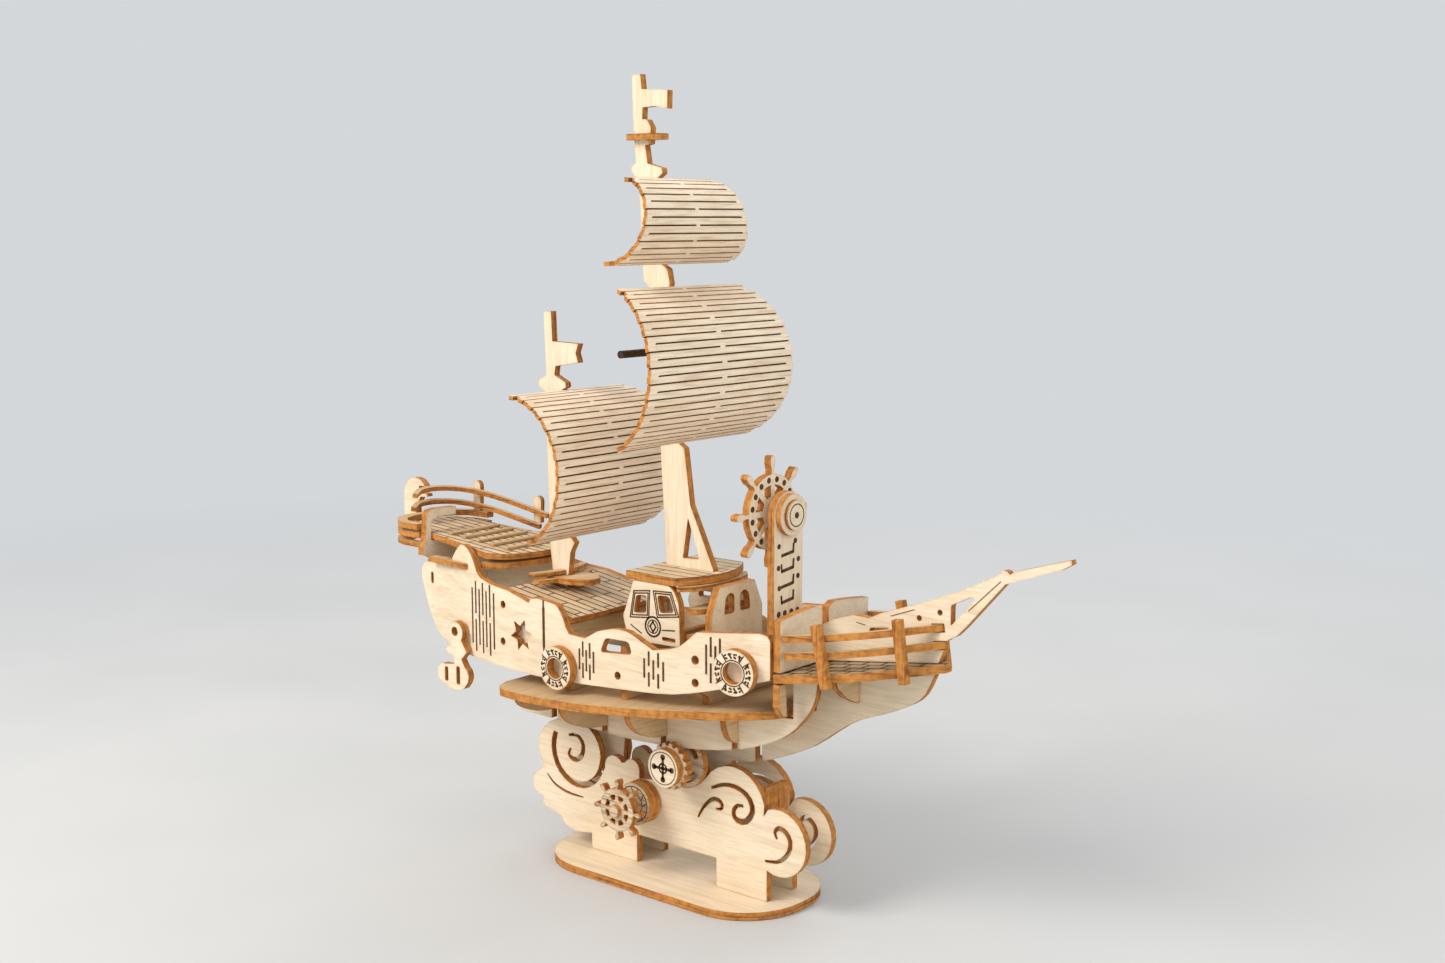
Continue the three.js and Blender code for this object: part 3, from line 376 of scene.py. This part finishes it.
def build_sails():
    build_sail("top_sail", (-15, 222.9), (-1.6, 209.6), (-14.8, 196.3), (19, 24.2, 28.6), 17)
    build_sail("main_sail", (-9.4, 189.8), (9, 165), (-7.6, 141), (28.4, 34.4, 31), 27)
    build_sail("mizzen_sail", (-59.6, 154.5), (-34.6, 129), (-50.4, 106.8), (26, 29, 27.4), 27)


# ---------------------------------------------------------------- hull trim
PANEL_PLAN = [(-118, 14), (-73, 22), (-23, 26.6), (5, 26.8), (30, 24.4), (46, 21.5)]


def panel_face(x):
    """Distance from the middle line to a side panel's outer face."""
    for (x0, y0), (x1, y1) in zip(PANEL_PLAN, PANEL_PLAN[1:]):
        if x <= x1:
            return y0 + (y1 - y0) * (x - x0) / (x1 - x0) + PLY / 2 * math.hypot(x1 - x0, y1 - y0) / (x1 - x0)
    return PANEL_PLAN[-1][1]


KERF_GROUPS = [(-83.6, -71, 7, 66.5, 90.5), (-27.8, -21.3, 5, 67.6, 79.4), (0.2, 7.7, 5, 69.8, 80.8),
               (23.4, 28.3, 4, 74.4, 88.4)]


PANEL_CUT = (-45.3, 72.6, 89.6)     # the cut between two lengths of panel: its x, bottom and top


def kerf_spans():
    """The x, bottom and top of each slit in a side panel."""
    spans = []
    for x0, x1, count, low, high in KERF_GROUPS:
        middle = (low + high) / 2
        for i in range(count):
            x = x0 + (x1 - x0) * i / (count - 1)
            spans += [(x, low, middle - 1), (x, middle + 1, high)] if i % 2 else [(x, low + 2.5, high - 2.5)]
    return spans + [PANEL_CUT]


def build_kerfs():
    """Staggered slits that let the panels bend."""
    for side, sign in SIDES:
        vertices, faces = [], []
        for x, low, high in kerf_spans():
            y = sign * (panel_face(x) - 0.12)
            add_bar(vertices, faces, at(x, y, low), at(x, y, high), 0.7 * MM, 0.4 * MM)
        make(f"panel_kerfs_{side}", vertices, faces, "hull", [INK])


LASHING_ROOM = 0.3   # half the angle kept clear of dashes round each lashing
RING_FACE = 3.02     # from a life ring's middle plane to its marks


def ring_mark_strokes():
    """A bold band of generic dashes, with four lashings across it."""
    quads = ring(0, 0, 3.9, 0.3)
    for k in range(4):
        for offset in (-0.2, 0.2):
            a = math.pi / 4 + k * math.pi / 2 + offset
            quads += stroke([polar(4.2, a), polar(6.5, a)], 0.35)
    for k in range(20):
        a = 2 * math.pi * (k + 0.5) / 20
        if abs(a % (math.pi / 2) - math.pi / 4) < LASHING_ROOM:
            continue
        low, high = (4.5, 5.9) if k % 2 else (4.7, 4.9)
        quads += stroke([polar(low, a - 0.06), polar(high, a + 0.06)], 0.6)
        quads += stroke([polar(5.8, a - 0.07), polar(5.6, a + 0.1)], 0.5)
    return quads


# Each life ring's centre, and how far it is turned about Z with the panel that it sits on.
LIFE_RINGS = (("aft", -35.9, 27.5, 69.7, 0.0), ("fore", 34.4, 25.1, 79.4, math.radians(10.3)))


def build_ring_marks():
    """Engraved bands and lashings on the life rings' faces."""
    for end, x, y, z, turn in LIFE_RINGS:
        for side, sign in SIDES:
            obj = plates(f"ring_marks_{end}_{side}", ring_mark_strokes(), "side", -0.06, 0.06, "hull", [INK])
            cx = x + RING_FACE * math.sin(turn)
            cy = sign * (y + RING_FACE * math.cos(turn))
            c, s = math.cos(turn), math.sin(turn)
            for vertex in obj.data.vertices:
                u, w = vertex.co.x / MM - SHIFT, vertex.co.y / MM
                vertex.co = at(cx + u * c, cy + w - sign * u * s, z + vertex.co.z / MM)


def build_star_discs():
    """Discs behind the side panels' star-shaped holes."""
    for side, sign in SIDES:
        plates(f"star_disc_{side}", [circle(-56.7, 76.3, 8.2, 30)], "side", sign * 19.8, sign * 21.6, "hull",
               [FACE["x"], EDGE["y"]])


HOUSE_WINDOWS = [
    [(-14.3, 88.5), (-9, 89.1), (-8.7, 94.9), (-13.2, 94.3)],
    [(-3.3, 89.9), (2.6, 90.8), (0.6, 95.7), (-4.4, 95.4)],
]
EMBLEM = (-6.2, 85.2)


def build_house_trim():
    """The deckhouse's engraved window frames and emblem, and the shelves and brow on its front."""
    for side, sign in SIDES:
        quads = []
        for window in HOUSE_WINDOWS:
            mu = sum(u for u, _ in window) / 4
            mv = sum(v for _, v in window) / 4
            for grow in (1.22, 1.48):
                outline = [(mu + (u - mu) * grow, mv + (v - mv) * grow) for u, v in window]
                quads += stroke(outline, 0.42, True)
        quads += ring(*EMBLEM, 3.1, 0.6) + ring(*EMBLEM, 2.1, 0.35)
        quads += stroke([(-6.2, 86.8), (-5, 85.2), (-6.2, 83.6), (-7.4, 85.2)], 0.6, True)
        quads += stroke([(-15.6, 84.6), (-11, 82.4)], 0.4) + stroke([(-2.4, 84.6), (2.8, 85.2)], 0.4)
        outer = sign * (15.6 + PLY / 2)
        plates(f"house_lines_{side}", quads, "side", outer - 0.08, outer + 0.08, "hull", [INK])
    nose = [(5.4, -14.6), (9, -13.6), (11, -8.4), (11, 8.4), (9, 13.6), (5.4, 14.6)]
    for index, height in enumerate((82.2, 90.4)):
        plates(f"house_shelf_{index + 1}", [nose], "deck", height, height + 1.8, "hull", [SHADED_TAN, EDGE["z"]])
    brow = [(4.4, -16.4), (7.2, -13.4), (8.8, -8), (9.6, 0), (8.8, 8), (7.2, 13.4), (4.4, 16.4), (3.2, 16.4),
            (3.2, -16.4)]
    plates("house_brow", [brow], "deck", 97.4, 98.9, "hull", [SHADED_TAN, EDGE["z"]])


# Bow posts: foot x and z, top x and z, distance from the middle line. Stern posts: x, y, bottom and top.
BOW_POSTS = ((63.9, 78.2, 60.1, 96.4, 21.4), (83.4, 80.8, 80.7, 99.2, 10.9))
STERN_POSTS = ((-121.5, 16.4, 103.4, 116.4), (-96, 21.9, 103, 112.6))


def build_posts():
    """Rail posts at the bow and the stern."""
    for side, sign in SIDES:
        for index, (x0, z0, x1, z1, y) in enumerate(BOW_POSTS):
            vertices, faces = bar(at(x0, sign * y, z0), at(x1, sign * y, z1), 2.9 * MM, 2.5 * MM)
            post = make(f"bow_post_{index + 1}_{side}", vertices, faces, "hull", [EDGE["x"]])
            bevel = post.modifiers.new("soft", "BEVEL")
            bevel.width = 0.00035
            bevel.segments = 2
    for index, (x, y, low, high) in enumerate(STERN_POSTS):
        top = [polar(2, math.pi * k / 8, x, high - 2) for k in range(9)]
        outline = [(x - 1.6, low), (x + 1.6, low)] + top
        plates(f"stern_post_{index + 1}", [outline], "side", y - 0.4, y + 1.4, "hull", [FACE["z"], EDGE["y"]])


BOW_LEG = ((18.6, 66.4), (20.4, 67.2), (22.2, 70), (22.2, 76.6), (19.2, 76.6), (18.8, 72))


def build_bow_legs():
    """Strips that carry the bow brackets' outer edges down past the fore deck to the lower deck's nose."""
    for side, sign in SIDES:
        outline = [(sign * y, z) for y, z in BOW_LEG]
        plates(f"bow_leg_{side}", [outline], "cross", 45.3, 47.7, "hull", [SHADED_TAN, EDGE["x"]])


def build_stern_ledges():
    """Round-ended ledges that rest on the side panels by the stern."""
    for side, sign in SIDES:
        arc = [math.pi * (k / 8 - 0.5) for k in range(9)]
        tip = [(-88 + 2.6 * math.cos(a), 19.5 + 2.2 * math.sin(a)) for a in arc]
        outline = [(-107, 16.9)] + tip + [(-107, 20.2)]
        plates(f"stern_ledge_{side}", [[(x, sign * y) for x, y in outline]], "deck", 93.8, 95.6, "hull",
               [SHADED_TAN, EDGE["z"]])


def build_helm_marks():
    """Dots and hooks down the helm post, dots round the helm wheel, and rings on its hub."""
    post_face = 32.4 + PLY / 2
    quads = [circle(y, z, 0.85, 12) for y, z in
             ((-4.6, 113.4), (3.4, 114.2), (5, 108.4), (-4.8, 106.8), (4.8, 103.2), (-4.4, 100.6))]
    for row, z in enumerate((112.0, 107.2, 102.4, 97.6)):
        quads += stroke([(-3.2, z - 1.6), (2.4, z - 1.0)], 1.0)
        quads += stroke([(2.4, z - 1.0), (2.6, z + 1.4)], 0.9)
        if row % 2:
            quads += stroke([(-3.2, z - 1.6), (-3.4, z + 0.4)], 0.8)
    for y in (-4.6, -1.6, 1.6, 4.6):
        quads.append(circle(y, 92.6, 0.95, 12))
    plates("helm_post_marks", quads, "cross", post_face - 0.06, post_face + 0.06, "hull", [INK])
    front = 26.4 + PLY / 2
    dots = [circle(*spot, 0.95, 10) for spot in circle(0, 122.7, 10, 16, math.pi / 16)]
    plates("helm_wheel_dots", dots, "cross", front - 0.05, front + 0.05, "helm", [INK])
    hub = ring(0, 122.7, 3.4, 0.35) + [circle(0, 122.7, 1.0, 14)]
    plates("helm_hub_rings", hub, "cross", 36.78, 36.86, "helm", [INK])


CAP_CENTRE, DRUM_CENTRE = (0, 41.5), (-18.2, 24.5)


def build_cap_marks():
    """A cross with knobbed ends on the cap, and rings with rays on the stand wheel's drum."""
    quads = ring(*CAP_CENTRE, 5.2, 0.25)
    quads += stroke([(-3.4, 41.5), (3.4, 41.5)], 0.9) + stroke([(0, 38.1), (0, 44.9)], 0.9)
    quads += ring(*CAP_CENTRE, 1.5, 0.5)
    quads += [circle(u, 41.5 + v, 0.95, 12) for u, v in ((-3.6, 0), (3.6, 0), (0, -3.6), (0, 3.6))]
    plates("cap_mark", quads, "side", -19.64, -19.52, "cap", [INK])
    drum = ring(*DRUM_CENTRE, 5.8, 0.3) + ring(*DRUM_CENTRE, 3.6, 0.25)
    for k in range(12):
        a = 2 * math.pi * k / 12
        drum += stroke([polar(4, a, *DRUM_CENTRE), polar(5.4, a + 0.2, *DRUM_CENTRE)], 0.35)
    plates("drum_ring", drum, "side", -13.36, -13.26, "wheel", [INK])


def build_sheet_lines():
    """Scored lines that follow the bowsprit's edges."""
    quads = []
    for x0, z0, x1, z1 in ((98, 102.4, 108, 112), (72, 97.2, 80, 100.2), (60, 93.6, 63, 93.2)):
        quads += stroke([(x0, z0), (x1, z1)], 0.3)
    plates("bowsprit_lines", quads, "side", -PLY / 2 - 0.07, -PLY / 2 + 0.03, "hull", [SCORE])


def bowed_strip(x, half, bow, depth):
    """A strip across the deck whose front edge bows forward, as an outline from above."""
    front = [(x + bow * (1 - (k / 6 - 1) ** 2), half * (k / 6 - 1)) for k in range(13)]
    back = [(u - depth, v) for u, v in reversed(front)]
    return front + back


def build_step_edges():
    """Thin bowed edges stacked under the poop's front step."""
    for index, (x, half, z) in enumerate(((-60.4, 12.6, 90.6), (-62.6, 12.4, 92.7))):
        plates(f"step_edge_{index + 1}", [bowed_strip(x, half, 3.4, 3)], "deck", z, z + 1.3, "hull",
               [SHADED_TAN, EDGE["z"]])


def build_poop_slats():
    """Slats across the poop deck, which slopes up to the stern."""
    vertices, faces = [], []
    for x in (-77.5, -84.5, -91.5, -98.5, -105.5):
        z = 99.4 - math.tan(math.radians(4)) * (x + 69.2) + 0.45
        add_bar(vertices, faces, at(x, -11.5, z), at(x, 11.5, z), 1.0 * MM, 2.2 * MM)
    slats = make("poop_slats", vertices, faces, "hull", [SHADED_TAN])
    bevel = slats.modifiers.new("soft", "BEVEL")
    bevel.width = 0.0003
    bevel.segments = 2


# ---------------------------------------------------------------- setting
BACKGROUND, BRIGHTNESS = (0.82, 0.85, 0.88), 0.8


def build_stage():
    """A pale floor that fades into the background's tone away from the part."""
    bpy.ops.mesh.primitive_plane_add(size=40, location=(0, 0, -0.0002))
    floor = bpy.context.active_object
    floor.name = "floor"
    g = Graph("floor_paper")
    soft = g.noise((1, 1, 1), 9.0, 2.0)
    colour = g.ramp(soft, [(0.3, (0.54, 0.535, 0.52)), (0.7, (0.58, 0.57, 0.555))])
    floor.data.materials.append(g.finish(colour, soft, 0.6, 0.05))
    reach = g.add("ShaderNodeVectorMath", {"operation": "LENGTH"}, Vector=g.coords).outputs["Value"]
    far = g.add("ShaderNodeMapRange", Value=reach, From_Min=0.28, From_Max=0.85)
    glow = g.add("ShaderNodeEmission", Color=(*BACKGROUND, 1), Strength=BRIGHTNESS)
    blend = g.add("ShaderNodeMixShader", Fac=far.outputs[0])
    g.link(g.shader.outputs[0], blend.inputs[1])
    g.link(glow.outputs[0], blend.inputs[2])
    g.link(blend.outputs[0], g.tree.nodes["Material Output"].inputs["Surface"])
    world = bpy.data.worlds.new("studio")
    bpy.context.scene.world = world
    world.use_nodes = True
    world.node_tree.nodes["Background"].inputs["Color"].default_value = (*BACKGROUND, 1)
    world.node_tree.nodes["Background"].inputs["Strength"].default_value = BRIGHTNESS


def area_light(name, place, target, size, power, colour=(1, 1, 1)):
    data = bpy.data.lights.new(name, "AREA")
    data.size = size
    data.energy = power
    data.color = colour
    light = bpy.data.objects.new(name, data)
    bpy.context.scene.collection.objects.link(light)
    light.location = place
    light.rotation_euler = (Vector(target) - Vector(place)).to_track_quat("-Z", "Y").to_euler()


def build_lights():
    """A soft key light, a fill and a back light."""
    area_light("key", (-0.35, -0.75, 0.75), (0, 0, 0.12), 0.5, 9.5, (1, 0.97, 0.93))
    area_light("fill", (0.9, -0.3, 0.4), (0, 0, 0.12), 0.8, 3.5, (0.95, 0.98, 1))
    area_light("back", (-0.2, 0.9, 0.7), (0, 0, 0.12), 0.7, 3.0)


def build_camera():
    """The picture's viewing angle."""
    data = bpy.data.cameras.new("view")
    data.sensor_width = 36
    data.lens = 44.11
    camera = bpy.data.objects.new("view", data)
    bpy.context.scene.collection.objects.link(camera)
    camera.location = (0.36162, -0.41627, 0.21068)
    aim = Vector((0.01617, 0, 0.13016)) - camera.location
    camera.rotation_euler = aim.to_track_quat("-Z", "Y").to_euler()
    bpy.context.scene.camera = camera


build_camera()
build_lights()
build_stage()
dress_cad()
build_sails()
build_kerfs()
build_ring_marks()
build_star_discs()
build_house_trim()
build_posts()
build_helm_marks()
build_cap_marks()
build_sheet_lines()
build_poop_slats()
build_step_edges()
build_bow_legs()
build_stern_ledges()
bpy.context.scene.view_settings.view_transform = "Standard"
bpy.context.view_layer.update()
